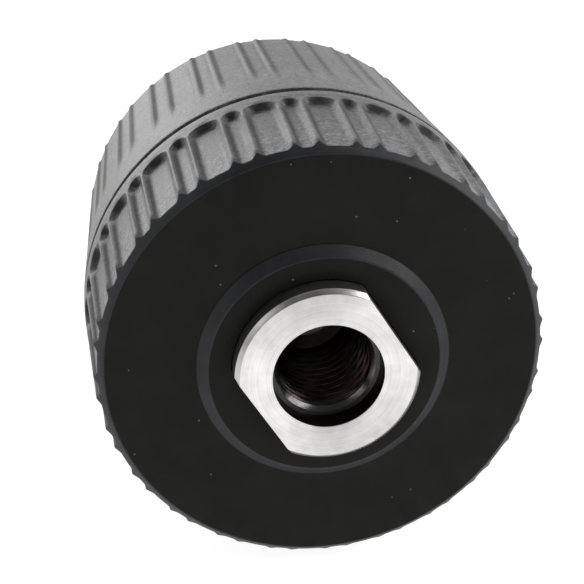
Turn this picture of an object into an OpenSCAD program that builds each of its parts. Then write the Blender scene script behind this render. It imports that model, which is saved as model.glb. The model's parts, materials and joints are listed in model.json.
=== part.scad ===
// Keyless two-sleeve drill chuck.
// The chuck's axis lies along Y. The spindle end faces -Y and the nose faces +Y.
// The origin is the centre of the spindle socket's mouth, on the rear face of the steel boss.
// Modules draw along Z first, from the boss face (z = 0) to the nose, and along_y() lays them down.

/* [Spindle end] */
// Minor diameter of the 3/8-24 UNF spindle thread
thread_minor_d = 8.6; // [7.4:0.1:9.4]
// Length of the threaded wall
thread_len = 12.4; // [9:0.1:13]
// Diameter of the plain counterbore at the mouth
counterbore_d = 10.2; // [9.8:0.1:12.2]
// Depth of the plain counterbore
counterbore_depth = 2.2; // [1:0.1:4]
// Diameter of the passage for a retaining screw
screw_hole_d = 6.2; // [4:0.1:6.8]
// Diameter of the steel boss
boss_d = 17; // [14.5:0.1:20.4]
// Distance across the boss's two wrench flats
boss_flats = 14; // [12.5:0.1:16]
// Depth by which the key behind the wrench flats is smaller than they are
key_relief = 0.05; // [0.02:0.01:0.1]
// Angle of the wrench flats about the chuck's axis, from the X axis
flats_angle = 32.5; // [0:0.5:90]
// Height of the boss above the raised ring
boss_proud = 2.05; // [0.8:0.05:4]
// Chamfer on the rim of the boss
boss_chamfer = 0.4; // [0.1:0.05:0.8]
// Diameter of the body's tail, which the rear sleeve is pressed on
tail_d = 23; // [21.5:0.1:25]

/* [Rear sleeve] */
// Length of the rear sleeve from its flat face to the seam
rear_sleeve_len = 14.35; // [12:0.05:18]
// Thickness of the rear wall
rear_wall_t = 2.6; // [1.6:0.1:3.4]
// Height of the raised ring round the boss
ring_h = 0.85; // [0.4:0.05:1.4]
// Width of the flat top of the raised ring, from the boss
ring_land = 2.25; // [1.2:0.05:3]
// Width of the ring's sloped edge
ring_bevel = 1; // [0.4:0.05:1.6]
// Width and length of the chamfer round the rear face
rear_chamfer = 0.9; // [0.4:0.05:1.2]
// Radius that the rear sleeve loses from the seam to the rear chamfer
rear_taper = 0.65; // [0.3:0.05:1]
// Depth of the grip pockets at their rear end
rear_pocket_min = 0.45; // [0.2:0.05:0.6]
// Depth of the grip pockets at their seam end
rear_pocket_max = 0.8; // [0.4:0.05:1]
// Width of the smooth band between the pockets and the seam
rear_band = 2; // [1.2:0.1:3]
// Angle by which the rear pockets are turned from the X axis
rear_turn = 3.3; // [-7.5:0.1:7.5]
// Length of the pressed steel bush inside the rear sleeve
bush_len = 6; // [3:0.5:6.5]
// Wall of the steel bush
bush_wall = 1.4; // [1:0.1:2]
// Wall of the plastic hub round the bush
hub_wall = 2; // [1.2:0.1:2.4]
// Distance that the ribs stop short of the hub's end
rib_drop = 1.5; // [0.5:0.1:2]
// Number of ribs between the hub and the outer wall
rib_count = 6; // [3:1:8]
// Thickness of a rib
rib_t = 1.2; // [0.8:0.1:2]

/* [Front sleeve] */
// Gap between the two sleeves
seam_gap = 0.5; // [0.3:0.05:1]
// Thickness of both sleeves at the seam
sleeve_wall = 2.75; // [2.2:0.05:4]
// Radius that the front sleeve loses from the seam to its shoulder
front_taper = 0.9; // [0.4:0.05:1.6]
// Depth of the front sleeve's grip pockets
front_pocket = 0.15; // [0.1:0.05:0.5]
// Width of the smooth band between the seam and the front pockets
front_band = 6.2; // [2:0.1:8]
// Angle by which the front pockets are turned from the X axis
front_turn = 0.5; // [-7.5:0.1:7.5]
// Length of the cone from the shoulder to the nose opening
nose_cone_len = 2.9; // [2.4:0.1:4.5]
// Thickness of the lip that runs on the body's nose
lip_t = 2.5; // [1.8:0.1:3]
// Width of the flat rim round the nose opening
nose_rim = 0.7; // [0.4:0.1:1.5]
// Length of the rounded edge at the shoulder
shoulder_round = 1.2; // [0.6:0.1:1.6]
// Thickness of the front sleeve's spigot, which bridges the seam
spigot_t = 0.9; // [0.6:0.1:1.2]
// Length of the spigot inside the rear sleeve
spigot_len = 0.8; // [0.4:0.1:1.4]
// Distance that the front sleeve stands in front of the snap ring
sleeve_overhang = 0.6; // [0.2:0.1:1]

/* [Grip pattern] */
// Number of wide and narrow pocket pairs round each sleeve
pocket_pairs = 24; // [16:1:28]
// Width of a wide pocket, as an angle
wide_pocket = 7.4; // [5:0.1:8]
// Width of a narrow pocket, as an angle
narrow_pocket = 4.2; // [3:0.1:5]

/* [Jaws] */
// Largest shank that the jaws take
capacity = 10; // [8:0.1:11]
// Smallest shank that the jaws take
smallest_shank = 0.8; // [0.5:0.1:2]
// Diameter of a jaw
jaw_d = 6; // [5:0.1:7.2]
// Angle of the jaws to the chuck's axis
jaw_angle = 15; // [13:0.5:16]
// Length of a jaw's gripping edge
grip_len = 8; // [6:0.1:9]
// Width of a jaw's gripping edge
edge_w = 0.4; // [0.2:0.05:0.6]
// Axial pitch of the jaw thread
jaw_pitch = 1.8; // [1.2:0.1:2.2]
// Depth of the jaw thread
jaw_thread_depth = 0.8; // [0.4:0.1:1]
// Width of the jaw thread's flat root
jaw_root_w = 0.16; // [0.1:0.02:0.3]
// Running clearance between a jaw and its bore
jaw_clear = 0.08; // [0.04:0.01:0.1]
// Distance from the open jaws' tips back to the nose face
tip_inset = 0.8; // [0.2:0.1:2]

/* [Nut and bearing] */
// Width of the split nut
nut_w = 6.5; // [5:0.1:8]
// Width of the crack between the nut's halves
nut_split = 0.02; // [0.01:0.01:0.1]
// Length of jaw that stays in the nut when the jaws are closed
nut_hold = 2; // [1:0.1:4]
// Clearance between the nut's thread crests and the jaws
nut_clear = 0.15; // [0.1:0.01:0.3]
// Wall of the steel band round the nut
nut_band_wall = 1.2; // [0.8:0.1:1.6]
// Radial width of the bearing races
race_w = 3.4; // [3:0.1:4]
// Thickness of a bearing race
race_t = 1.1; // [0.8:0.1:1.6]
// Diameter of a bearing ball
ball_d = 2.4; // [2:0.1:2.8]
// Number of bearing balls
ball_count = 24; // [12:1:30]
// Clearance round a ball in the races' grooves
ball_clear = 0.04; // [0.02:0.01:0.08]
// Depth of the races' ball grooves
ball_groove = 0.1; // [0.05:0.01:0.3]
// Thickness of the ball cage
cage_t = 1; // [0.6:0.1:1.4]
// Thickness of the disc spring's steel
disc_spring_t = 0.5; // [0.3:0.05:0.8]
// Height of the disc spring
disc_spring_h = 1; // [0.8:0.05:1.4]
// Number of drive dogs between the sleeve and the nut
dog_count = 4; // [2:1:6]
// Width of a drive dog
dog_w = 4.5; // [3:0.1:6]
// Length of a drive dog
dog_len = 2.8; // [1.5:0.1:4]
// Distance of the dogs from the body's nose
dog_wall = 2; // [1.5:0.1:2.4]
// Distance of the dogs from the nut's outside
dog_inset = 0.8; // [0.5:0.1:1.2]
// Thickness of the drive ring
drive_ring_t = 2; // [1.4:0.1:3]

/* [Body and nose] */
// Distance from the seam to the body's thrust flange
flange_setback = 3.7; // [2:0.1:6]
// Thickness of the thrust flange
flange_t = 5.15; // [3:0.05:7]
// Length of the body's nose in front of the nut
nose_len = 8.8; // [8.4:0.1:11]
// Wall of the body's nose outside the front of the nut's thread
nose_wall = 0.75; // [0.5:0.05:1.5]
// Depth of the nut groove under the nut's thread
nut_groove_depth = 0.9; // [0.6:0.1:1.2]
// Depth of the shank socket behind the nose face
socket_depth = 29; // [20:0.5:30]
// Radial clearance round a shank of the largest size
socket_clear = 0.3; // [0.1:0.05:0.6]
// Chamfer round the body's nose face
nose_chamfer = 1.1; // [0.4:0.1:2]
// Thickness of the sleeve washer
washer_t = 0.8; // [0.5:0.1:1.2]
// Thickness of the snap ring
snap_t = 0.8; // [0.6:0.1:1]
// Depth of the snap ring's groove in the nose
snap_depth = 0.8; // [0.4:0.1:1]
// Width of the gap in the snap ring
snap_gap = 4; // [2:0.5:6]
// Radial width of the pressed nose ring
nose_ring_w = 2.9; // [2.2:0.1:3.6]
// Thickness of the nose ring's lip round the snap ring
nose_ring_lip = 1; // [0.6:0.1:1.2]
// Bevel round the front of the nose ring
nose_ring_bevel = 0.6; // [0.3:0.1:1]
// Distance from the nose ring's front to the nose's chamfer
nose_ring_inset = 0.3; // [0:0.1:0.6]
// Thickness of the rubber drag ring
drag_d = 1.2; // [0.8:0.1:1.4]

/* [Fits] */
// Running clearance between turning and fixed pieces
run_clear = 0.1; // [0.05:0.01:0.1]
// Free clearance inside the sleeves
free_clear = 0.6; // [0.4:0.05:1]

/* [Hidden] */
$fn = 96;
// A length longer than the chuck, for cutting tools
far = 80;
// Depth to which ribs, hub and dogs are sunk in the wall that carries them
root = 0.5;

// Places along the axis, from the boss face to the nose
z_ring = boss_proud;
z_key = z_ring - key_relief;
z_face = z_ring + ring_h;
z_wall = z_face + rear_wall_t;
z_seam = z_face + rear_sleeve_len;
z_front = z_seam + seam_gap;
z_flange = z_seam + flange_setback + seam_gap;
z_spring = z_flange + flange_t;
z_race_rear = z_spring + disc_spring_h;
z_balls = z_race_rear + race_t;
z_race_front = z_balls + ball_d - 2 * ball_groove;
z_nut = z_race_front + race_t;
z_nut_end = z_nut + nut_w;
z_nose = z_nut_end + 2 * run_clear;
z_tip_face = z_nose + nose_len;
z_tip = z_tip_face - tip_inset;
z_drive = z_nut_end + 3 * run_clear;
z_lip = z_drive + drive_ring_t;
z_drag = z_lip + lip_t / 2;
z_washer = z_lip + lip_t + run_clear;
z_snap = z_washer + washer_t;
z_nose_ring = z_snap + snap_t;
z_ring_front = z_tip_face - nose_chamfer - nose_ring_inset;
z_thread_end = counterbore_depth + thread_len;
z_socket = z_tip_face - socket_depth;

// The jaws' lines
jaw_r = jaw_d / 2;
jaw_slant_r = jaw_r / cos(jaw_angle);
jaw_tip_r = capacity / 2 + jaw_slant_r - grip_len * tan(jaw_angle);
jaw_travel = (capacity - smallest_shank) / 2 / sin(jaw_angle);
z_jaw_end = z_nut - jaw_travel * cos(jaw_angle) + nut_hold;
jaw_turn = [-90, 30, 150];
function jaw_outer(z) = jaw_tip_r + (z_tip - z) * tan(jaw_angle) + jaw_slant_r;

// The thread grooves are drawn this far past the crests, where they are this wide from their middle
groove_over = 1;
groove_half = 0.62 * jaw_pitch;
nut_groove_half = 0.45 * jaw_pitch;

// Radii of the mechanism
socket_r = capacity / 2 + socket_clear;
nut_crest_front = jaw_outer(z_nut_end) + nut_clear;
nut_crest_rear = jaw_outer(z_nut) + nut_clear;
nut_groove_r = nut_crest_front - nut_groove_depth;
nose_r = nut_crest_front + nose_wall;
race_in = jaw_outer(z_spring) + 3 * run_clear + jaw_clear;
race_out = race_in + race_w;
pilot_r = race_in - run_clear / 2;
nut_out = race_out - nut_band_wall;
sleeve_in = max(race_out, jaw_outer(z_jaw_end)) + free_clear;
pitch_r = (race_in + race_out) / 2;
dog_in = nose_r + dog_wall;
dog_out = nut_out - dog_inset;
lip_in = nose_r + run_clear;
nose_ring_out = nose_r + nose_ring_w;
snap_out = nose_ring_out - nose_ring_lip;

// Radii of the sleeves' outsides
seam_r = sleeve_in + sleeve_wall;
rear_r = seam_r - rear_taper;
face_r = rear_r - rear_chamfer;
shoulder_r = seam_r - front_taper;
nose_open_r = nose_ring_out + free_clear / 2;
z_sleeve_end = z_snap + snap_t + sleeve_overhang;
z_shoulder = z_sleeve_end - nose_cone_len;
spigot_out = sleeve_in + spigot_t;
// Radius of the front sleeve where its pockets start
front_r = seam_r - front_taper * front_band / (z_shoulder - shoulder_round - z_front);
hole_r = boss_d / 2 + run_clear;
ring_top_r = boss_d / 2 + ring_land;
bush_out = tail_d / 2 + bush_wall;
hub_out = bush_out + hub_wall;
pair_angle = 360 / pocket_pairs;
split_angle = 180 / dog_count;
drag_groove_w = 1.2 * drag_d;
// Height of the balls' centres along the axis
z_ball = z_balls - ball_groove + ball_d / 2;

// Colours
steel = [0.78, 0.78, 0.78];
dark_steel = [0.45, 0.46, 0.48];
black_plastic = [0.1, 0.1, 0.11];
grey_plastic = [0.2, 0.2, 0.2];
nylon = [0.85, 0.83, 0.75];
rubber = [0.08, 0.08, 0.08];

module along_y() {
    rotate([-90, 0, 0]) children();
}

// A plain ring between two radii, from z0 to z1
module ring(r_in, r_out, z0, z1) {
    rotate_extrude()
        translate([r_in, z0]) square([r_out - r_in, z1 - z0]);
}

// A circle with two flats, drawn in the plane of the boss face
module two_flats(d, flats) {
    intersection() {
        circle(d = d);
        rotate(-flats_angle) square([flats, 2 * d], center = true);
    }
}

// The slot of one jaw, or the jaw's own cylinder, at the angle a about the chuck's axis
module jaw_rod(a, r) {
    rotate([0, 0, a])
        translate([jaw_tip_r, 0, z_tip])
            rotate([0, 180 - jaw_angle, 0])
                translate([0, 0, -far / 2]) cylinder(r = r, h = 2 * far);
}

module chuck_body() color(steel) along_y() {
    difference() {
        rotate_extrude() polygon([
            [0, 0],
            [boss_d / 2 - boss_chamfer, 0],
            [boss_d / 2, boss_chamfer],
            [boss_d / 2, z_wall],
            [tail_d / 2, z_wall],
            [tail_d / 2, z_flange],
            [race_out, z_flange],
            [race_out, z_spring],
            [pilot_r, z_spring],
            [pilot_r, z_nut - 2 * run_clear],
            [nut_groove_r, z_nut - 2 * run_clear],
            [nut_groove_r, z_nose],
            [nose_r, z_nose],
            [nose_r, z_tip_face - nose_chamfer],
            [nose_r - nose_chamfer, z_tip_face],
            [0, z_tip_face]
        ]);
        // Wrench flats on the boss, and the key behind them that fits the rear sleeve's hole
        boss_cut(-1, z_key, boss_flats);
        boss_cut(z_key, z_wall, boss_flats - 2 * key_relief);
        // Spindle socket: counterbore, thread wall and screw passage
        translate([0, 0, -1]) cylinder(d = counterbore_d, h = counterbore_depth + 1);
        cylinder(d = thread_minor_d, h = z_thread_end);
        cylinder(d = screw_hole_d, h = z_tip_face);
        // Shank socket
        translate([0, 0, z_socket]) cylinder(r = socket_r, h = socket_depth + 1);
        // Jaw bores
        for (a = jaw_turn) intersection() {
            jaw_rod(a, jaw_r + jaw_clear);
            translate([0, 0, z_jaw_end - 2]) cylinder(r = far, h = far);
        }
        // Snap ring groove and drag ring groove
        ring(nose_r - snap_depth, nose_r + 1, z_snap, z_snap + snap_t);
        drag_groove();
    }
}

// What is cut off the boss between z0 and z1 to leave two flats
module boss_cut(z0, z1, flats) {
    translate([0, 0, z0]) linear_extrude(z1 - z0) difference() {
        circle(r = boss_d);
        rotate(-flats_angle) square([flats, 3 * boss_d], center = true);
    }
}

// The groove of the drag ring in the body's nose, half way along the sleeve's lip
module drag_groove() {
    ring(lip_in - drag_d - run_clear, nose_r + 1, z_drag - drag_groove_w / 2, z_drag + drag_groove_w / 2);
}

// One grip pocket: a flat-bottomed channel from z0 to z1 whose floor runs from radius r0 to r1
module pocket(a, width, z0, z1, r0, r1) {
    rotate([0, 0, a])
        rotate([90, 0, 0])
            linear_extrude(2 * r0 * tan(width / 2), center = true)
                polygon([[r0, z0], [r0 + 4, z0], [r0 + 4, z1], [r1, z1]]);
}

// All the pockets of one sleeve
module pockets(turn, z0, z1, r0, r1) {
    for (i = [0 : pocket_pairs - 1]) {
        pocket(turn + i * pair_angle, wide_pocket, z0, z1, r0, r1);
        pocket(turn + (i + 0.5) * pair_angle, narrow_pocket, z0, z1, r0, r1);
    }
}

module rear_sleeve() color(black_plastic) along_y() {
    difference() {
        union() {
            difference() {
                rotate_extrude() polygon([
                    [0, z_ring],
                    [ring_top_r, z_ring],
                    [ring_top_r + ring_bevel, z_face],
                    [face_r, z_face],
                    [rear_r, z_face + rear_chamfer],
                    [seam_r, z_seam],
                    [spigot_out + 2 * run_clear, z_seam],
                    [spigot_out + 2 * run_clear, z_seam - spigot_len - 2 * run_clear],
                    [sleeve_in, z_seam - spigot_len - 2 * run_clear],
                    [sleeve_in, z_wall],
                    [0, z_wall]
                ]);
                pockets(rear_turn, z_face - 1, z_seam - rear_band,
                    rear_r - rear_pocket_min, seam_r - rear_pocket_max);
            }
            // Hub and ribs inside the rear wall
            ring(bush_out, hub_out, z_wall - root, z_wall + bush_len);
            for (i = [0 : rib_count - 1])
                rotate([0, 0, i * 360 / rib_count])
                    translate([hub_out - root, -rib_t / 2, z_wall - root])
                        cube([sleeve_in - hub_out + 2 * root, rib_t, bush_len - rib_drop]);
        }
        // The boss's hole is keyed by the wrench flats
        linear_extrude(z_wall + 1) two_flats(2 * hole_r, boss_flats + 2 * run_clear);
    }
}

module rear_sleeve_bush() color(dark_steel) along_y() {
    ring(tail_d / 2, bush_out, z_wall, z_wall + bush_len);
}

module front_sleeve() color(grey_plastic) along_y() {
    difference() {
        rotate_extrude() polygon([
            [lip_in, z_lip],
            [sleeve_in, z_lip],
            [sleeve_in, z_seam - spigot_len],
            [spigot_out, z_seam - spigot_len],
            [spigot_out, z_front],
            [seam_r, z_front],
            [shoulder_r, z_shoulder - shoulder_round],
            [shoulder_r - shoulder_round / 3, z_shoulder],
            [nose_open_r + nose_rim, z_sleeve_end],
            [nose_open_r, z_sleeve_end],
            [nose_open_r, z_lip + lip_t],
            [lip_in, z_lip + lip_t]
        ]);
        pockets(front_turn, z_front + front_band, z_sleeve_end,
            front_r - front_pocket, shoulder_r - front_pocket);
    }
}

module drive_ring() color(dark_steel) along_y() {
    ring(lip_in + 2 * run_clear, sleeve_in, z_drive, z_lip);
    for (i = [0 : dog_count - 1]) intersection() {
        ring(dog_in, dog_out, z_nut_end - dog_len, z_drive + root);
        rotate([0, 0, i * 360 / dog_count])
            translate([0, -dog_w / 2, 0]) cube([far, dog_w, far]);
    }
}

// The whole nut before it is split, with its tapered thread as ring grooves
module whole_nut() {
    difference() {
        rotate_extrude() polygon([
            [nut_crest_rear, z_nut],
            [nut_out, z_nut],
            [nut_out, z_nut_end],
            [nut_crest_front, z_nut_end]
        ]);
        for (z = [z_nut + jaw_pitch / 2 : jaw_pitch : z_nut_end - jaw_pitch / 3])
            rotate_extrude() polygon([
                [jaw_outer(z) - groove_over, z - nut_groove_half],
                [jaw_outer(z) + nut_clear + jaw_thread_depth, z],
                [jaw_outer(z) - groove_over, z + nut_groove_half]
            ]);
        for (i = [0 : dog_count - 1]) intersection() {
            ring(dog_in - 2 * run_clear, dog_out + 2 * run_clear,
                z_nut_end - dog_len - 2 * run_clear, z_nut_end + 1);
            rotate([0, 0, i * 360 / dog_count])
                translate([0, -dog_w / 2 - run_clear, 0]) cube([far, dog_w + 2 * run_clear, far]);
        }
    }
}

// The nut is broken in two along a plane through the axis, between the dogs
module nut_half(side) color(steel) along_y() {
    intersection() {
        whole_nut();
        rotate([0, 0, split_angle + side * 180])
            translate([-far, nut_split / 2, 0]) cube([2 * far, far, far]);
    }
}

module nut_half_1() {
    nut_half(0);
}

module nut_half_2() {
    nut_half(1);
}

module nut_band() color(dark_steel) along_y() {
    ring(nut_out, race_out, z_nut, z_nut_end);
}

module disc_spring() color(dark_steel) along_y() {
    rotate_extrude() polygon([
        [race_in, z_race_rear - disc_spring_t],
        [race_in, z_race_rear],
        [race_out - 2 * run_clear, z_spring + disc_spring_t],
        [race_out - 2 * run_clear, z_spring]
    ]);
}

// A bearing race from z0 to z1, with its ball groove facing the balls' plane
module race(z0, z1) color(steel) along_y() {
    difference() {
        ring(race_in, race_out, z0, z1);
        translate([0, 0, z_ball])
            rotate_extrude() translate([pitch_r, 0]) circle(r = ball_d / 2 + ball_clear);
    }
}

module thrust_race_rear() {
    race(z_race_rear, z_balls);
}

module thrust_race_front() {
    race(z_race_front, z_nut);
}

// The balls' places round the bearing
module at_balls() {
    for (i = [0 : ball_count - 1])
        rotate([0, 0, i * 360 / ball_count])
            translate([pitch_r, 0, z_ball]) children();
}

module ball_cage() color([0.72, 0.6, 0.35]) along_y() {
    difference() {
        translate([0, 0, z_ball])
            ring(race_in + run_clear, race_out - run_clear, -cage_t / 2, cage_t / 2);
        at_balls() cylinder(r = ball_d / 2 + run_clear / 2, h = ball_d, center = true, $fn = 48);
    }
}

module bearing_balls() color(steel) along_y() {
    at_balls() sphere(d = ball_d, $fn = 32);
}

// One jaw: a slanted rod cut to a 120-degree wedge along its gripping edge, with a thread on its back.
// The thread of each jaw is a third of a pitch further on than the one before.
module jaw(number) color(dark_steel) along_y() {
    difference() {
        intersection() {
            jaw_rod(jaw_turn[number], jaw_r);
            rotate([0, 0, jaw_turn[number]])
                translate([0, 0, z_jaw_end])
                    linear_extrude(z_tip - z_jaw_end) polygon([
                [capacity / 2, -edge_w / 2],
                [capacity / 2 + far, -far * tan(60)],
                [capacity / 2 + far, far * tan(60)],
                [capacity / 2, edge_w / 2]
            ]);
        }
        rotate([0, 0, jaw_turn[number] - 30])
            for (z = [z_jaw_end + (number / 3 + 0.5) * jaw_pitch : jaw_pitch : z_nut_end + jaw_pitch])
                rotate_extrude(angle = 60) polygon([
                    [jaw_outer(z) - jaw_thread_depth, z - jaw_root_w / 2],
                    [jaw_outer(z) + groove_over, z - groove_half],
                    [jaw_outer(z) + groove_over, z + groove_half],
                    [jaw_outer(z) - jaw_thread_depth, z + jaw_root_w / 2]
                ]);
    }
}

module jaw_1() {
    jaw(0);
}

module jaw_2() {
    jaw(1);
}

module jaw_3() {
    jaw(2);
}

module sleeve_washer() color(nylon) along_y() {
    ring(nose_r + run_clear / 2, nose_ring_out, z_washer, z_washer + washer_t);
}

module snap_ring() color(dark_steel) along_y() {
    difference() {
        ring(nose_r - snap_depth, snap_out, z_snap, z_snap + snap_t);
        translate([0, -snap_gap / 2, z_snap - 1]) cube([far, snap_gap, snap_t + 2]);
    }
}

module drag_ring() color(rubber) along_y() {
    translate([0, 0, z_drag])
        rotate_extrude() translate([lip_in - drag_d / 2 - run_clear / 4, 0]) circle(d = drag_d, $fn = 48);
}

module nose_ring() color(dark_steel) along_y() {
    rotate_extrude() polygon([
        [nose_r, z_nose_ring],
        [snap_out + run_clear, z_nose_ring],
        [snap_out + run_clear, z_snap],
        [nose_ring_out, z_snap],
        [nose_ring_out, z_ring_front - nose_ring_bevel],
        [nose_ring_out - nose_ring_bevel, z_ring_front],
        [nose_r, z_ring_front]
    ]);
}

chuck_body();
rear_sleeve();
rear_sleeve_bush();
front_sleeve();
drive_ring();
nut_half_1();
nut_half_2();
nut_band();
disc_spring();
thrust_race_rear();
thrust_race_front();
ball_cage();
bearing_balls();
jaw_1();
jaw_2();
jaw_3();
sleeve_washer();
snap_ring();
drag_ring();
nose_ring();
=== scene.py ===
import json
import math
import bmesh
import bpy
import numpy as np
from mathutils import Matrix, Vector


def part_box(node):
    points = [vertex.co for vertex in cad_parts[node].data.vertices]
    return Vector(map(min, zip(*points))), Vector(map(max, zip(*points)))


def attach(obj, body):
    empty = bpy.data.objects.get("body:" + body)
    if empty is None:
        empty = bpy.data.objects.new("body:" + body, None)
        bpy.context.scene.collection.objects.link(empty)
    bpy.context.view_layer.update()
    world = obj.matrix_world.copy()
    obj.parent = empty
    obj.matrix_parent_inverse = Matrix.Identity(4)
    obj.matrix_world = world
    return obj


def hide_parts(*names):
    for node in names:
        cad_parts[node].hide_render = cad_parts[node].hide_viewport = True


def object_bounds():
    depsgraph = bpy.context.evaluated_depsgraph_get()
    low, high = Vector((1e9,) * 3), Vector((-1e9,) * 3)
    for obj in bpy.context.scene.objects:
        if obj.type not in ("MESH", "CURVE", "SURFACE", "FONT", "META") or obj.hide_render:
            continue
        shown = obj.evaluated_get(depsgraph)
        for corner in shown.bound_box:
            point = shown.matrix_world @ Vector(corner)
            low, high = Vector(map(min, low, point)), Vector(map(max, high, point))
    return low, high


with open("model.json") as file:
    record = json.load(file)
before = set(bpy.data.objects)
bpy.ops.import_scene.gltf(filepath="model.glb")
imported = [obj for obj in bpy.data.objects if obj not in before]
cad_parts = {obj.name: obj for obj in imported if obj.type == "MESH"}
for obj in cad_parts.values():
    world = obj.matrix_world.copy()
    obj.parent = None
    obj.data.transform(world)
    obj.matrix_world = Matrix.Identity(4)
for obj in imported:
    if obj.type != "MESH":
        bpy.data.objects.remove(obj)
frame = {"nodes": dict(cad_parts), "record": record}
cad_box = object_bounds()
nodes = frame["nodes"]

# ---------------------------------------------------------------------------------------------
# Sizes. Lengths are in millimetres and angles in degrees; a mesh is scaled to metres when it is made.
# y runs along the chuck's axis from the boss's face to the nose. Angles go from +X towards +Z.
# ---------------------------------------------------------------------------------------------
MM = 0.001


def box_mm(node):
    """The lowest and highest corner of a CAD node, in millimetres."""
    low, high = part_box(node)
    return low / MM, high / MM


rear_low, rear_high = box_mm("rear_sleeve")
_, front_high = box_mm("front_sleeve")
_, body_high = box_mm("chuck_body")
bush_low, bush_high = box_mm("rear_sleeve_bush")
spring_low, _ = box_mm("disc_spring")
_, race_high = box_mm("thrust_race_rear")
nut_low, nut_high = box_mm("nut_band")
_, drive_high = box_mm("drive_ring")
washer_low, _ = box_mm("sleeve_washer")
snap_low, snap_high = box_mm("snap_ring")
_, nose_ring_high = box_mm("nose_ring")

# Boss and spindle hole
BOSS_R = 8.5
FLAT_R = 7.0
FLATS_AT = 32.5
KEY_RELIEF = 0.05
KEY_GAP = 0.1
BOSS_CHAMFER = 0.4
COUNTERBORE_R = 5.1
COUNTERBORE_DEPTH = 2.2
HOLE_BEVEL = 0.42
THREAD_MINOR_R = 4.3
THREAD_MAJOR_R = 4.76
THREAD_PITCH = 25.4 / 24
THREAD_END = 14.6
THREAD_ROWS = 14
BODY_COLUMNS = 240
SCREW_HOLE_R = 3.1
SOCKET_R = 5.3
SOCKET_START = 18.5
TAIL_R = 11.5

# Rear sleeve
RING_Y = rear_low.y
FACE_Y = RING_Y + 0.85
WALL_Y = bush_low.y
BUSH_END = bush_high.y
SEAM_Y = rear_high.y
SEAM_R = rear_high.x
RING_TOP_R = BOSS_R + 2.25
RING_BASE_R = RING_TOP_R + 1.0
REAR_CHAMFER = 0.9
REAR_R = SEAM_R - 0.65
FACE_R = REAR_R - REAR_CHAMFER
REAR_POCKET_REAR = 0.37
REAR_POCKET_SEAM = 0.64
REAR_BAND = 2.0
REAR_TURN = -3.3
PIT_DEPTH = 0.06
PIT_WIDTH = 0.62
PIT_LENGTH = 0.4
PIT_FROM_END = 0.1
REAR_SHADE_AT = 0.42
REAR_SHADE_HALF = 0.26
TIP_SHADE_HALF = 0.4
TIP_SHADE_LEN = 1.3
WORN_LEN = 8
SLEEVE_IN = drive_high.x
SPIGOT_R = SLEEVE_IN + 0.9
SPIGOT_LEN = 0.8
RECESS_GAP = 0.2
HUB_R = bush_high.x + 2.0
RIBS = 6
RIB_HALF_ANGLE = 2.2
RIB_END = BUSH_END - 1.5

# Front sleeve
FRONT_Y = SEAM_Y + 0.95
FRONT_END = front_high.y
SHOULDER_Y = FRONT_END - 2.9
SHOULDER_R = SEAM_R - 0.9
SHOULDER_ROUND = 1.2
NOSE_OPEN_R = nose_ring_high.x + 0.3
NOSE_RIM = 0.7
LIP_Y = drive_high.y
LIP_END = washer_low.y - 0.1
WIDE_DIP = 0.08
NARROW_DIP = 0.14
GROOVE = 0.03
GROOVE_HALF = 0.16
FRONT_RIDGE_HALF = 0.5
FRONT_RIDGE_POWER = 1.4
FRONT_SHADE_AT = 0.2
FRONT_SHADE_HALF = 0.34
FRONT_SHADE = 0.75
SHOULDER_BEND = 52
FRONT_BAND = 4.2
FRONT_RAMP = 5.5
FRONT_TURN = -0.5

# Grip pattern: pairs of a wide and a narrow pocket, with a rounded ridge on each side of each
PAIRS = 24
PITCH = 360 / PAIRS
RIDGE_AT = 4.575
GRIP_R = (REAR_R + SEAM_R) / 2
CREST_HALF = 0.07
RIDGE_HALF = 0.76
POCKET_CORNER = 1.05
END_SLOPE = 0.3
EDGE_ROUND = 0.12
FACE_ROUND = 0.1

# Body behind and in front of the nut
NOSE_R = nose_ring_high.x - 2.9
FLANGE_Y = 21.45
FLANGE_R = race_high.x
SPRING_Y = spring_low.y
PILOT_R = race_high.x - 3.45
NUT_Y = nut_low.y - 0.2
NUT_GROOVE_R = 10.52
NOSE_Y = nut_high.y + 0.2
LIP_IN = NOSE_R + 0.1
DRAG_R = 10.97
DRAG_HALF = 0.72
SNAP_R = NOSE_R - 0.8
NOSE_CHAMFER = 1.1
NOSE_END = body_high.y

# Jaws
JAW_ANGLES = [90, -30, 210]
JAW_BORE_R = 3.08
JAW_SLANT = 15
JAW_TIP_R = 5.963
JAW_TIP_Y = NOSE_END - 0.8
JAW_BORE_START = 14.83
JAW_BORE_AHEAD = 8
JAW_BORE_SEGMENTS = 96

# Marks of faces that take different materials: the first three on a sleeve, the others on the body
PLASTIC_FACE, PLASTIC_GRIP, PLASTIC_BEVEL = 0, 1, 2
FACED, TURNED, BORED, TAPPED, BEVELLED = 0, 1, 2, 3, 4
BODY_MARKS = 5

# ---------------------------------------------------------------------------------------------
# Turned shapes: a profile is a closed list of (radius, y, softening, mark), where the last two may be
# left out. A radius, y or softening is one number, or one number per column.
# ---------------------------------------------------------------------------------------------


def smooth(t):
    """0 below 0, 1 above 1, with a soft start and end between."""
    t = np.clip(t, 0, 1)
    return t * t * (3 - 2 * t)


def mix(a, b, t):
    """a where t is 0 and b where it is 1."""
    return a + (b - a) * t


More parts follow.
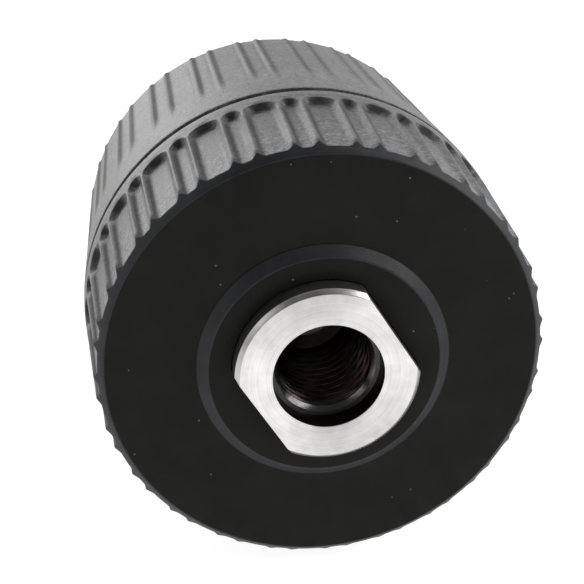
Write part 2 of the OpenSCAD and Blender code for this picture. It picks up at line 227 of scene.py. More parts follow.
def outline(corners, count):
    """Rows of points from a closed profile's corners, where a softened corner becomes three points."""
    places = [
        np.stack([np.broadcast_to(r, count), np.broadcast_to(y, count)], 1).astype(float)
        for r, y, *_ in corners
    ]
    rows, marks = [], []
    for i, corner in enumerate(corners):
        here, before, after = places[i], places[i - 1], places[(i + 1) % len(places)]
        soft = corner[2] if len(corner) > 2 else 0
        mark = corner[3] if len(corner) > 3 else PLASTIC_FACE
        if not np.any(soft):
            rows.append(here)
            marks.append(mark)
            continue
        back, ahead = before - here, after - here
        back_len = np.linalg.norm(back, axis=1, keepdims=True)
        ahead_len = np.linalg.norm(ahead, axis=1, keepdims=True)
        reach = np.minimum(np.broadcast_to(soft, count)[:, None], 0.4 * np.minimum(back_len, ahead_len))
        a = here + back / back_len * reach
        b = here + ahead / ahead_len * reach
        rows += [a, (a + b) / 4 + here / 2, b]
        marks += [mark] * 3
    return np.array(rows), np.array(marks)


def solid(name, angles, rows, marks=None, **attributes):
    """A closed mesh from rows of (radius, y) at each angle, with a number per point for each attribute."""
    count_rows, count = rows.shape[:2]
    turn = np.radians(angles)
    radius, y = rows[..., 0], rows[..., 1]
    points = np.stack([radius * np.cos(turn), y, radius * np.sin(turn)], -1).reshape(-1, 3) * MM
    i, j = np.meshgrid(np.arange(count_rows), np.arange(count), indexing="ij")
    i_next, j_next = (i + 1) % count_rows, (j + 1) % count
    faces = np.stack(
        [i * count + j, i * count + j_next, i_next * count + j_next, i_next * count + j], -1
    ).reshape(-1, 4)
    a, b, c, d = (points[faces[:, k]] for k in range(4))
    volume = np.einsum("ij,ij->", a, np.cross(b, c)) + np.einsum("ij,ij->", a, np.cross(c, d))
    if volume < 0:
        faces = faces[:, ::-1]
    mesh = bpy.data.meshes.new(name)
    mesh.from_pydata(points.tolist(), [], faces.tolist())
    if marks is not None:
        mesh.polygons.foreach_set("material_index", np.repeat(marks, count).astype(np.int32))
    for key, values in attributes.items():
        layer = mesh.attributes.new(key, "FLOAT", "POINT")
        layer.data.foreach_set("value", np.ascontiguousarray(values, np.float32).ravel())
    piece = bpy.data.objects.new(name, mesh)
    bpy.context.scene.collection.objects.link(piece)
    return piece


def finish_shading(piece, angle=38):
    """Smooth shading that keeps flat faces flat and corners sharp."""
    piece.data.shade_smooth()
    piece.data.set_sharp_from_angle(angle=math.radians(angle))
    weighted = piece.modifiers.new("flat faces stay flat", "WEIGHTED_NORMAL")
    weighted.keep_sharp = True
    weighted.weight = 60


# ---------------------------------------------------------------------------------------------
# Grip pattern
# ---------------------------------------------------------------------------------------------


def grip_columns(turn):
    """Angles of a sleeve's columns, close together on the ridges and wide apart between them."""
    slope = [0, 0.07, 0.14, 0.22, 0.31, 0.41, 0.52, 0.64, 0.78]
    ridge = [math.degrees(s / GRIP_R) for s in slope]
    ridge = sorted({-a for a in ridge} | set(ridge))
    offsets = [-1.8, -0.9, 0, 0.9, 1.8]
    offsets += [RIDGE_AT + a for a in ridge] + [PITCH - RIDGE_AT + a for a in ridge]
    offsets += [PITCH / 2 - 0.3, PITCH / 2 + 0.3]
    base = 90 + turn
    return np.sort(np.array([base + k * PITCH + o for k in range(PAIRS) for o in offsets]))


def ridge_gap(angles, turn):
    """Distance round the sleeve from each angle to the nearest ridge's crest."""
    from_wide = (angles - 90 - turn + PITCH / 2) % PITCH - PITCH / 2
    return np.radians(np.abs(np.abs(from_wide) - RIDGE_AT)) * GRIP_R


def beside_ridge(angles, turn, distance, width):
    """1 on a band on one side of each ridge, towards smaller angles, where the grip is painted darker as
    shade, else 0.
    """
    from_wide = (angles - 90 - turn + PITCH / 2) % PITCH - PITCH / 2
    band = 0
    for ridge in (-RIDGE_AT, RIDGE_AT):
        past = np.radians(ridge - from_wide) * GRIP_R
        band = band + np.exp(-(((past - distance) / width) ** 2))
    return band


def is_wide(angles, turn):
    """1 in a wide pocket and 0 in a narrow one."""
    from_wide = (angles - 90 - turn + PITCH / 2) % PITCH - PITCH / 2
    return (np.abs(from_wide) < RIDGE_AT).astype(float)


def pocket_share(gap, before_end, end_slope):
    """How far the surface has sunk from the ridges (0) to a pocket's floor (1)."""
    beside = np.clip(1 - (gap - CREST_HALF) / POCKET_CORNER, 0, 1)
    along = np.clip(1 - before_end / POCKET_CORNER, 0, 1)
    depth = POCKET_CORNER * (1 - np.hypot(beside, along))
    side_slope = RIDGE_HALF - CREST_HALF
    slope = (beside * side_slope + along * end_slope) / np.maximum(beside + along, 1e-6)
    t = np.clip(depth / np.maximum(slope, end_slope), 0, 1)
    return mix(1 - (1 - t) ** 2, smooth(t), 0.35)


# ---------------------------------------------------------------------------------------------
# Rear sleeve
# ---------------------------------------------------------------------------------------------


def keyed_hole(angles, round_r, flat_r):
    """Radius of a round outline with two flats, at each angle."""
    from_flat = np.abs(np.cos(np.radians(angles - FLATS_AT)))
    return np.minimum(round_r, flat_r / np.maximum(from_flat, 1e-3))


def rear_sleeve():
    angles = grip_columns(REAR_TURN)
    count = len(angles)
    gap = ridge_gap(angles, REAR_TURN)
    wide = is_wide(angles, REAR_TURN)
    pocket_end = SEAM_Y - REAR_BAND

    middle = smooth((gap - RIDGE_HALF * 0.6) / (RIDGE_HALF * 0.7))

    def ridge_r(y):
        return mix(REAR_R, SEAM_R, (y - FACE_Y - REAR_CHAMFER) / (SEAM_Y - FACE_Y - REAR_CHAMFER))

    def share_at(y):
        return pocket_share(gap, pocket_end - y, END_SLOPE)

    def near_end(y):
        """1 in the dimple at the seam end of a pocket's middle, 0 elsewhere."""
        back = pocket_end - y
        return middle * smooth((back - 0.1) / 0.3) * (1 - smooth((back - 0.55) / 0.8))

    def surface(y):
        along = (y - FACE_Y) / (pocket_end - FACE_Y)
        floor = mix(REAR_R - REAR_POCKET_REAR, SEAM_R - REAR_POCKET_SEAM, along)
        return ridge_r(y) - share_at(y) * (ridge_r(y) - floor + PIT_DEPTH * near_end(y))

    # where the chamfer's cone meets the grooved surface, at each angle
    crease = np.full(count, FACE_Y + REAR_CHAMFER / 2)
    for _ in range(5):
        crease = FACE_Y + surface(crease) - FACE_R

    hole = keyed_hole(angles, BOSS_R + KEY_GAP, FLAT_R + KEY_GAP)
    rib_turn = (angles + RIB_HALF_ANGLE) % (360 / RIBS)
    cavity = np.where(rib_turn < 2 * RIB_HALF_ANGLE, RIB_END, WALL_Y)
    corners = [
        (hole, RING_Y, EDGE_ROUND),
        (mix(hole, RING_TOP_R, 0.5), RING_Y),
        (RING_TOP_R, RING_Y, EDGE_ROUND, PLASTIC_BEVEL),
        (RING_BASE_R, FACE_Y, FACE_ROUND),
        (mix(RING_BASE_R, FACE_R, 0.33), FACE_Y),
        (mix(RING_BASE_R, FACE_R, 0.66), FACE_Y),
        (FACE_R, FACE_Y, FACE_ROUND, PLASTIC_BEVEL),
        (mix(FACE_R, surface(crease), 0.5), mix(FACE_Y, crease, 0.5), 0, PLASTIC_BEVEL),
        (surface(crease), crease, 0.07, PLASTIC_GRIP),
    ]
    start = crease + 0.12
    before_end = [1.4, 1.15, 0.95, 0.78, 0.64, 0.52, 0.42, 0.33, 0.26, 0.2, 0.15, 0.1, 0.05, 0.0]
    for t in np.linspace(0, 1, 16)[:-1]:
        y = mix(start, pocket_end - before_end[0], t**1.25)
        corners.append((surface(y), y, 0, PLASTIC_GRIP))
    for back in before_end:
        corners.append((surface(np.full(count, pocket_end - back)), pocket_end - back, 0, PLASTIC_GRIP))
    for y in (pocket_end + 0.15, pocket_end + 0.9):
        corners.append((ridge_r(y), y, 0, PLASTIC_GRIP))
    recess = SEAM_Y - SPIGOT_LEN - RECESS_GAP
    corners += [
        (SEAM_R, SEAM_Y, EDGE_ROUND, PLASTIC_GRIP),
        (SPIGOT_R + RECESS_GAP, SEAM_Y, 0.08),
        (SPIGOT_R + RECESS_GAP, recess),
        (SLEEVE_IN, recess),
        (SLEEVE_IN, cavity),
        (HUB_R, cavity),
        (HUB_R, BUSH_END),
        (bush_high.x, BUSH_END),
        (bush_high.x, WALL_Y),
        (hole, WALL_Y),
    ]
    rows, marks = outline(corners, count)
    y = rows[..., 1]
    radius = rows[..., 0]
    on_grip = (radius > FACE_R + 0.3) & (y > crease - 0.02)
    floor = share_at(y) * on_grip
    crest = on_grip * (1 - floor) * (y < pocket_end)
    rear_end = floor * (1 - smooth((y - FACE_Y - 0.5) / WORN_LEN))
    # Painted shade: a dark ellipse in the middle of each pocket's seam end, where the end wall faces back and
    # lies in shade.
    half_width = np.radians(np.where(wide, RIDGE_AT, PITCH / 2 - RIDGE_AT)) * GRIP_R
    across = (half_width - gap) / (PIT_WIDTH * half_width)
    from_pit = np.hypot(across, (pocket_end - y - PIT_FROM_END) / PIT_LENGTH)
    inside = 1 - smooth((from_pit - 0.4) / 0.7)
    # Painted shade: a dark band on one flank of each ridge, and dark ridge tips where the ridges run into the
    # chamfer.
    flank = beside_ridge(angles, REAR_TURN, REAR_SHADE_AT, REAR_SHADE_HALF)
    flank = flank * smooth((pocket_end - y - 0.8) / 1.5)
    tip = np.exp(-((gap / TIP_SHADE_HALF) ** 2)) * (1 - smooth((y - crease) / TIP_SHADE_LEN))
    piece = solid("rear_sleeve_shell", angles, rows, marks, crest=crest, worn=rear_end,
                  pit=on_grip * inside, shade=on_grip * np.clip(flank + tip, 0, 1))
    finish_shading(piece)
    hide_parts("rear_sleeve")
    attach(piece, "body")
    return piece


# ---------------------------------------------------------------------------------------------
# Front sleeve
# ---------------------------------------------------------------------------------------------


def front_sleeve():
    angles = grip_columns(FRONT_TURN)
    count = len(angles)
    gap = ridge_gap(angles, FRONT_TURN)
    wide = is_wide(angles, FRONT_TURN)
    half_angle = np.where(wide, RIDGE_AT, PITCH / 2 - RIDGE_AT)
    from_middle = np.radians(half_angle) - gap / GRIP_R
    dip = np.where(wide, WIDE_DIP, NARROW_DIP)
    rise = (1 - smooth(gap / FRONT_RIDGE_HALF)) ** FRONT_RIDGE_POWER
    beside = np.exp(-(((gap - FRONT_RIDGE_HALF) / GROOVE_HALF) ** 2))

    def crest_r(y):
        return mix(SEAM_R, SHOULDER_R, (y - FRONT_Y) / (SHOULDER_Y - SHOULDER_ROUND - FRONT_Y))

    def surface(y):
        """A flat floor between two ridges, which fades into the smooth band."""
        crest = crest_r(y)
        flat = crest * np.cos(np.radians(half_angle)) / np.cos(from_middle) - dip
        depth = (crest - flat) - rise * dip + beside * GROOVE
        return crest - depth * smooth((y - FRONT_Y - FRONT_BAND) / FRONT_RAMP)

    corners = [
        (LIP_IN, LIP_Y),
        (SLEEVE_IN, LIP_Y),
        (SLEEVE_IN, SEAM_Y - SPIGOT_LEN),
        (SPIGOT_R, SEAM_Y - SPIGOT_LEN),
        (SPIGOT_R, FRONT_Y),
        (SEAM_R, FRONT_Y, EDGE_ROUND),
    ]
    pocket_start = FRONT_Y + FRONT_BAND
    for y in np.linspace(FRONT_Y + 0.6, pocket_start, 5):
        corners.append((surface(y), y))
    for y in np.linspace(pocket_start, pocket_start + FRONT_RAMP, 16)[1:]:
        corners.append((surface(y), y))
    for y in np.linspace(pocket_start + FRONT_RAMP, SHOULDER_Y - SHOULDER_ROUND, 10)[1:]:
        corners.append((surface(y), y))
    rim_r = NOSE_OPEN_R + NOSE_RIM
    shoulder = surface(SHOULDER_Y - SHOULDER_ROUND)
    bend = math.radians(SHOULDER_BEND)
    for t in np.linspace(0, 1, 7)[1:]:
        a = t * bend
        corners.append((
            shoulder - SHOULDER_ROUND * (1 - math.cos(a)),
            SHOULDER_Y - SHOULDER_ROUND + SHOULDER_ROUND * math.sin(a),
        ))
    last_r, last_y = corners[-1]
    for t in (0.2, 0.4, 0.6, 0.8):
        corners.append((mix(last_r, rim_r, t), mix(last_y, FRONT_END, t)))
    corners += [
        (rim_r, FRONT_END, 0.15),
        (NOSE_OPEN_R, FRONT_END, 0.15),
        (NOSE_OPEN_R, LIP_END),
        (LIP_IN, LIP_END),
    ]
    rows, _ = outline(corners, count)
    y = rows[..., 1]
    grooved = (rows[..., 0] > SPIGOT_R + 0.3) * smooth((y - pocket_start) / FRONT_RAMP)
    start = smooth((y - FRONT_Y - 3) / 1.5) * (1 - smooth((y - FRONT_Y - 6) / 3))
    # Painted shade: a dark band on one flank of each ridge, fading in with the grooves.
    flank = beside_ridge(angles, FRONT_TURN, FRONT_SHADE_AT, FRONT_SHADE_HALF)
    piece = solid("front_sleeve_shell", angles, rows, crest=grooved * rise,
                  worn=0.5 * start * (1 - wide) * smooth((gap - 0.2) / 1.2), pit=0 * y,
                  shade=FRONT_SHADE * grooved * flank)
    finish_shading(piece)
    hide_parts("front_sleeve")
    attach(piece, "sleeve")
    return piece


# ---------------------------------------------------------------------------------------------
# Body
# ---------------------------------------------------------------------------------------------


def thread_r(y, angles):
    """Radius of the spindle thread's wall: a right-hand groove cut outwards from the minor radius."""
    turn = (y / THREAD_PITCH + angles / 360) % 1
    groove = np.clip((np.abs(turn - 0.5) * -1 + 0.375) / 0.3125, 0, 1)
    start = smooth((y - COUNTERBORE_DEPTH - 0.3) / 0.8)
    finish = 1 - smooth((y - THREAD_END + 1.2) / 0.9)
    return THREAD_MINOR_R + (THREAD_MAJOR_R - THREAD_MINOR_R) * groove * start * finish


def body_columns():
    """Angles of the body's columns, with one on each corner of the flats."""
    angles = set(np.round(np.arange(BODY_COLUMNS) * 360 / BODY_COLUMNS, 4))
    face_r = BOSS_R - BOSS_CHAMFER
    for side in (0, 180):
        for r in (BOSS_R, mix(face_r, BOSS_R, 0.5), face_r):
            half = math.degrees(math.acos(FLAT_R / r))
            for corner in (-half, half):
                at = (FLATS_AT + side + corner) % 360
                angles = {a for a in angles if abs(a - at) > 0.35}
                angles.add(at)
    return np.array(sorted(angles))


def chuck_body():
    angles = body_columns()
    count = len(angles)
    face_r = BOSS_R - BOSS_CHAMFER
    side_r = keyed_hole(angles, BOSS_R, FLAT_R)
    rim_r = np.minimum(side_r, face_r)
    chamfer_y = np.maximum(side_r - face_r, 0.0) + 0.02
    key_r = np.minimum(side_r, keyed_hole(angles, BOSS_R, FLAT_R - KEY_RELIEF))
    key_y = RING_Y - KEY_RELIEF
    soft = 0.1
    corners = [
        (COUNTERBORE_R, 0, 0.06, FACED),
        (mix(COUNTERBORE_R, rim_r, 0.35), 0, 0, FACED),
        (mix(COUNTERBORE_R, rim_r, 0.7), 0, 0, FACED),
        (rim_r, 0, 0.04, TURNED),
        (side_r, chamfer_y, 0.04, TURNED),
        (side_r, mix(chamfer_y, key_y, 0.5), 0, TURNED),
        (side_r, key_y, 0, TURNED),
        (key_r, key_y + KEY_RELIEF / 2, 0, TURNED),
        (key_r, WALL_Y, 0, TURNED),
        (TAIL_R, WALL_Y, 0, TURNED),
        (TAIL_R, FLANGE_Y, 0, TURNED),
        (FLANGE_R, FLANGE_Y, soft, TURNED),
        (FLANGE_R, SPRING_Y, soft, TURNED),
        (PILOT_R, SPRING_Y, 0, TURNED),
        (PILOT_R, NUT_Y, soft, TURNED),
        (NUT_GROOVE_R, NUT_Y, 0, TURNED),
        (NUT_GROOVE_R, NOSE_Y, 0, TURNED),
        (NOSE_R, NOSE_Y, soft, TURNED),
        (NOSE_R, mix(LIP_Y, LIP_END, 0.5) - DRAG_HALF, 0, TURNED),
        (DRAG_R, mix(LIP_Y, LIP_END, 0.5) - DRAG_HALF, 0, TURNED),
        (DRAG_R, mix(LIP_Y, LIP_END, 0.5) + DRAG_HALF, 0, TURNED),
        (NOSE_R, mix(LIP_Y, LIP_END, 0.5) + DRAG_HALF, 0, TURNED),
        (NOSE_R, snap_low.y, 0, TURNED),
        (SNAP_R, snap_low.y, 0, TURNED),
        (SNAP_R, snap_high.y, 0, TURNED),
        (NOSE_R, snap_high.y, 0, TURNED),
        (NOSE_R, NOSE_END - NOSE_CHAMFER, soft, TURNED),
        (NOSE_R - NOSE_CHAMFER, NOSE_END, soft, FACED),
        (mix(NOSE_R - NOSE_CHAMFER, SOCKET_R, 0.5), NOSE_END, 0, FACED),
        (SOCKET_R + 0.3, NOSE_END, 0.08, FACED),
        (SOCKET_R, NOSE_END - 0.3, 0.08, BORED),
        (SOCKET_R, SOCKET_START + 0.8, 0, BORED),
        (SOCKET_R - 0.8, SOCKET_START, 0.2, BORED),
        (SCREW_HOLE_R + 0.2, SOCKET_START, 0.1, BORED),
        (SCREW_HOLE_R, SOCKET_START - 0.3, 0, BORED),
        (SCREW_HOLE_R, THREAD_END + 0.6, 0, BORED),
    ]
    rows_of_thread = int((THREAD_END - COUNTERBORE_DEPTH) / THREAD_PITCH * THREAD_ROWS)
    for y in np.linspace(THREAD_END, COUNTERBORE_DEPTH + HOLE_BEVEL, rows_of_thread):
        corners.append((thread_r(y, angles), y, 0, TAPPED))
    corners[-1] = (*corners[-1][:3], BEVELLED)
    corners += [
        (THREAD_MINOR_R + HOLE_BEVEL, COUNTERBORE_DEPTH, 0.04, BORED),
        (COUNTERBORE_R, COUNTERBORE_DEPTH, 0.06, BORED),
        (COUNTERBORE_R, COUNTERBORE_DEPTH / 2, 0, BORED),
    ]
    rows, marks = outline(corners, count)
    piece = solid("turned_body", angles, rows, marks)
    for _ in range(BODY_MARKS):
        piece.data.materials.append(None)
    cutters = [jaw_bore(angle) for angle in JAW_ANGLES]
    for cutter in cutters:
        cut = piece.modifiers.new("jaw bore", "BOOLEAN")
        cut.operation = "DIFFERENCE"
        cut.solver = "EXACT"
        cut.object = cutter
    applied(piece)
    for cutter in cutters:
        bpy.data.objects.remove(cutter)
    finish_shading(piece, 30)
    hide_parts("chuck_body")
    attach(piece, "body")
    return piece


def jaw_bore(angle):
    """The slanted cylinder that one jaw slides in, as a cutter."""
    slant = math.radians(JAW_SLANT)
    rise = Vector((-math.sin(slant), math.cos(slant)))
    turn = math.radians(angle)
    back = (JAW_TIP_Y - JAW_BORE_START) / math.cos(slant)

    def place(along):
        r = JAW_TIP_R + rise.x * along
        return Vector((r * math.cos(turn), JAW_TIP_Y + rise.y * along, r * math.sin(turn))) * MM

    low, high = place(-back), place(JAW_BORE_AHEAD)
    mesh = bpy.data.meshes.new("jaw bore")
    shape = bmesh.new()
    axis = (high - low).normalized().to_track_quat("Z", "Y").to_matrix().to_4x4()
    bmesh.ops.create_cone(
        shape, cap_ends=True, segments=JAW_BORE_SEGMENTS, radius1=JAW_BORE_R * MM, radius2=JAW_BORE_R * MM,
        depth=(high - low).length, matrix=Matrix.Translation((low + high) / 2) @ axis,
    )
    for face in shape.faces:
        face.material_index = BORED
    shape.to_mesh(mesh)
    shape.free()
    cutter = bpy.data.objects.new("jaw bore", mesh)
    bpy.context.scene.collection.objects.link(cutter)
    for _ in range(BODY_MARKS):
        mesh.materials.append(None)
    return cutter


def applied(piece):
    """Puts a piece's modifiers into its mesh."""
    bpy.context.view_layer.update()
    shaped = bpy.data.meshes.new_from_object(piece.evaluated_get(bpy.context.evaluated_depsgraph_get()))
    piece.modifiers.clear()
    shaped.name = piece.data.name
    piece.data = shaped


# ---------------------------------------------------------------------------------------------
# Materials
# ---------------------------------------------------------------------------------------------


class Look:
    """A material's nodes, with short calls for the ones used here. Scales are in features per metre."""

    def __init__(self, name, colour, rough, metal=0.0, specular=0.5):
        self.material = bpy.data.materials.new(name)
        self.material.use_nodes = True
        self.tree = self.material.node_tree
        self.shader = self.tree.nodes["Principled BSDF"]
        self.shader.inputs["Base Color"].default_value = (*colour, 1)
        self.shader.inputs["Roughness"].default_value = rough
        self.shader.inputs["Metallic"].default_value = metal
        self.shader.inputs["Specular IOR Level"].default_value = specular
        self.place = self.node("ShaderNodeTexCoord").outputs["Object"]

    def node(self, kind, **settings):
        made = self.tree.nodes.new(kind)
        for key, value in settings.items():
            setattr(made, key, value)
        return made

    def join(self, source, target):
        """Links a socket to another, or sets it where the source is a number or a colour."""
        if isinstance(source, (int, float)):
            target.default_value = source
        elif isinstance(source, (tuple, list)):
            target.default_value = (*source, 1) if len(source) == 3 else source
        else:
            self.tree.links.new(source, target)

    def math(self, operation, a, b=0.0, clamp=False):
        made = self.node("ShaderNodeMath", operation=operation, use_clamp=clamp)
        self.join(a, made.inputs[0])
        self.join(b, made.inputs[1])
        return made.outputs[0]

    def noise(self, scale, detail=3.0, rough=0.55, where=None):
        made = self.node("ShaderNodeTexNoise")
        self.join(where or self.place, made.inputs["Vector"])
        made.inputs["Scale"].default_value = scale
        made.inputs["Detail"].default_value = detail
        made.inputs["Roughness"].default_value = rough
        return made.outputs["Fac"]

    def cells(self, scale, where=None):
        made = self.node("ShaderNodeTexVoronoi")
        self.join(where or self.place, made.inputs["Vector"])
        made.inputs["Scale"].default_value = scale
        return made.outputs["Distance"]

    def span(self, value, low, high):
        """0 where value is low, 1 where it is high, with a soft start and end between."""
        made = self.node("ShaderNodeMapRange", interpolation_type="SMOOTHSTEP")
        self.join(value, made.inputs["Value"])
        made.inputs["From Min"].default_value = low
        made.inputs["From Max"].default_value = high
        return made.outputs["Result"]

    def blend(self, share, a, b):
        made = self.node("ShaderNodeMix", data_type="RGBA")
        self.join(share, made.inputs[0])
        self.join(a, made.inputs[6])
        self.join(b, made.inputs[7])
        return made.outputs[2]

    def stretch(self, x, y, z):
        made = self.node("ShaderNodeMapping")
        self.join(self.place, made.inputs["Vector"])
        made.inputs["Scale"].default_value = (x, y, z)
        return made.outputs["Vector"]

    def radial(self):
        """Distance from the chuck's axis, in metres."""
        flat = self.stretch(1, 0, 1)
        made = self.node("ShaderNodeVectorMath", operation="LENGTH")
        self.join(flat, made.inputs[0])
        return made.outputs["Value"]

    def rings(self, scale, across=None):
        """Noise that changes only with the distance from the axis (or another value), as tool marks do."""
        place = self.node("ShaderNodeCombineXYZ")
        self.join(across or self.radial(), place.inputs["X"])
        return self.noise(scale, 2.0, 0.7, where=place.outputs[0])

    def attribute(self, name):
        return self.node("ShaderNodeAttribute", attribute_name=name).outputs["Fac"]

    def colour(self, source):
        self.join(source, self.shader.inputs["Base Color"])

    def rough(self, source):
        self.join(source, self.shader.inputs["Roughness"])

    def bump(self, height, distance):
        """distance is the height in metres that a change from 0 to 1 stands for."""
        made = self.node("ShaderNodeBump")
        self.join(height, made.inputs["Height"])
        made.inputs["Distance"].default_value = distance
        made.inputs["Strength"].default_value = 1.0
        self.join(made.outputs[0], self.shader.inputs["Normal"])


def dust(look, scale, size, share):
    """1 on a few small specks, spaced about 1/scale apart, 0 elsewhere."""
    specks = look.span(look.cells(scale), size, size * 0.55)
    return look.math("MULTIPLY", specks, look.span(look.noise(scale * 0.37, 1), 1 - share, 1.02 - share))


def matt_nylon(name, dark, light, speck, specular, grain):
    """Nylon as it comes from the mould, near black, with dust and short scratches."""
    look = Look(name, dark, 0.45, specular=specular)
    cloud = look.noise(240, 3, 0.6)
    fine = look.noise(9000, 2, 0.6)
    tone = look.math("ADD", look.math("MULTIPLY", cloud, 0.6), look.math("MULTIPLY", fine, 0.4))
    scratch = look.span(look.cells(420, where=look.stretch(0.22, 1, 1.7)), 0.03, 0.014)
    scratch = look.math("MULTIPLY", scratch, look.span(look.noise(150, 1), 0.56, 0.6))
    marks = look.math("MAXIMUM", dust(look, 520, 0.06, 0.58), scratch)
    plain = look.blend(look.span(tone, 0.35, 0.65), dark, light)
    look.colour(look.blend(look.math("MULTIPLY", marks, 0.85), plain, speck))
    look.rough(look.math("ADD", 0.4, look.math("MULTIPLY", fine, 0.14)))
    look.bump(look.math("ADD", fine, look.math("MULTIPLY", marks, 0.6)), grain)
    return look.material


def scuffed_nylon(name, plain, scuffed, speck, amount, rough):
    """Mottled grey nylon of a grip, lighter on crests and where worn, with painted shade in pits and beside
    the ridges.
    """
    look = Look(name, plain, rough, specular=0.68)
    crest, worn, pit, shade = (look.attribute(key) for key in ("crest", "worn", "pit", "shade"))
    cloud = look.noise(330, 3, 0.6)
    mottle = look.noise(1350, 3, 0.66)
    speckle = look.noise(3400, 3, 0.7)
    along = look.noise(1500, 3, 0.6, where=look.stretch(1, 0.2, 1))
    rubbed = look.math("ADD", look.math("MULTIPLY", look.span(mottle, 0.42, 0.6), 0.46),
                       look.math("MULTIPLY", look.span(speckle, 0.41, 0.6), 0.4))
    rubbed = look.math("ADD", rubbed, look.math("MULTIPLY", look.span(cloud, 0.3, 0.7), 0.1))
    rubbed = look.math("ADD", rubbed, look.math("MULTIPLY", look.span(along, 0.3, 0.7), 0.08))
    patches = look.math("MULTIPLY", look.span(mottle, 0.45, 0.6), look.span(speckle, 0.4, 0.62))
    end = look.math("MULTIPLY", worn, look.math("ADD", 0.1, look.math("MULTIPLY", patches, 1.5)))
    edge = look.math("MULTIPLY", crest, look.math("MULTIPLY", look.span(along, 0.35, 0.62), 0.22))
    wear = look.math("ADD", look.math("MULTIPLY", rubbed, amount), look.math("ADD", end, edge), clamp=True)
    # Painted shade from the pit and flank attributes: it darkens the colour and raises the roughness.
    dark = look.math("MAXIMUM", look.math("MULTIPLY", pit, 0.75), look.math("MULTIPLY", shade, 0.8))
    wear = look.math("MULTIPLY", wear, look.math("SUBTRACT", 1.0, dark))
    # In the pits the plain colour is darkened further as painted shade.
    plain_with_pit_shade = look.blend(pit, plain, tuple(0.3 * c for c in plain))
    base = look.blend(wear, plain_with_pit_shade, scuffed)
    look.colour(look.blend(look.math("MULTIPLY", dust(look, 700, 0.07, 0.45), 0.75), base, speck))
    even = look.math("ADD", rough - 0.16, look.math("MULTIPLY", mottle, 0.32))
    look.rough(look.math("ADD", even, look.math("MULTIPLY", dark, 0.45), clamp=True))
    grain = look.math("ADD", look.math("MULTIPLY", mottle, 0.9), look.math("MULTIPLY", speckle, 0.6))
    look.bump(grain, 0.0001)
    return look.material


def turned_steel(name, dark, light, rough, ring_scale, ring_height, along=False, grain=0.0):
    """Steel with the marks of a lathe tool, which change along the axis or with the distance from it."""
    look = Look(name, light, rough, metal=1.0)
    where = None
    if along:
        apart = look.node("ShaderNodeSeparateXYZ")
        look.join(look.place, apart.inputs[0])
        where = apart.outputs["Y"]
    if grain:
        look.shader.inputs["Anisotropic"].default_value = grain
        look.shader.inputs["Anisotropic Rotation"].default_value = 0.25
        round_axis = look.node("ShaderNodeTangent", direction_type="RADIAL", axis="Y")
        look.join(round_axis.outputs[0], look.shader.inputs["Tangent"])
    rings = look.rings(ring_scale, where)
    fine = look.rings(ring_scale * 3.7, where)
    cloud = look.noise(420, 4, 0.6)
    marks = look.math("ADD", look.math("MULTIPLY", rings, 0.6), look.math("MULTIPLY", fine, 0.4))
    tone = look.math("ADD", look.math("MULTIPLY", marks, 0.6), look.math("MULTIPLY", cloud, 0.4))
    look.colour(look.blend(look.span(tone, 0.35, 0.65), dark, light))
    look.rough(look.math("ADD", rough - 0.08, look.math("MULTIPLY", marks, 0.16)))
    look.bump(marks, ring_height)
    return look.material


def plain_metal(name, dark, light, rough):
    """Metal with a cloudy tone and a fine grain."""
    look = Look(name, light, rough, metal=1.0)
    cloud = look.noise(300, 4, 0.6)
    fine = look.noise(2500, 3, 0.6)
    look.colour(look.blend(look.span(cloud, 0.35, 0.68), dark, light))
    look.rough(look.math("ADD", rough - 0.07, look.math("MULTIPLY", fine, 0.16)))
    look.bump(fine, 0.000003)
    return look.material


def moulded(name, dark, light, rough):
    """Moulded plastic or rubber, with a faint cloudy tone."""
    look = Look(name, light, rough)
    look.colour(look.blend(look.span(look.noise(500, 3), 0.35, 0.7), dark, light))
    look.rough(look.math("ADD", rough - 0.05, look.math("MULTIPLY", look.noise(3000, 2), 0.12)))
    look.bump(look.noise(6000, 2), 0.000008)
    return look.material


def wear(piece, *materials):
    """Gives a piece these materials, in the order of its faces' marks."""
    slots = piece.data.materials
    while len(slots) < len(materials):
        slots.append(None)
    for i, material in enumerate(materials):
        slots[i] = material


rear = rear_sleeve()
front = front_sleeve()
body = chuck_body()

matt = matt_nylon("rear face nylon", (0.0075, 0.0075, 0.007), (0.0115, 0.0115, 0.0105), (0.16, 0.16, 0.152),
                  0.11, 0.000006)
bevel = matt_nylon("rear bevel nylon", (0.011, 0.0112, 0.013), (0.024, 0.025, 0.028), (0.12, 0.12, 0.12),
                   0.33, 0.00003)
grip = scuffed_nylon("rear grip nylon", (0.014, 0.014, 0.015), (0.175, 0.175, 0.182),
                     (0.46, 0.44, 0.4), 0.74, 0.48)
wear(rear, matt, grip, bevel)
wear(front, scuffed_nylon("front grip nylon", (0.02, 0.02, 0.02), (0.18, 0.178, 0.176),
                          (0.55, 0.53, 0.5), 0.85, 0.48))
bright = turned_steel("turned face", (0.64, 0.63, 0.61), (0.93, 0.92, 0.91), 0.42, 5200, 0.0000012, grain=0.8)
side = turned_steel("turned side", (0.42, 0.41, 0.4), (0.66, 0.65, 0.64), 0.34, 4200, 0.000002, along=True)
# Painted shade: the bored wall, the thread and the bevelled mouth are the body's steel painted near black for
# the shade inside the holes.
hole = turned_steel("bored wall with painted shade", (0.03, 0.028, 0.027), (0.09, 0.085, 0.08), 0.34, 4200, 0.000003, along=True)
thread = plain_metal("tapped thread with painted shade", (0.034, 0.023, 0.019), (0.1, 0.075, 0.066), 0.31)
mouth = plain_metal("bevelled mouth with painted shade", (0.07, 0.067, 0.064), (0.18, 0.172, 0.165), 0.2)
wear(body, bright, side, hole, thread, mouth)

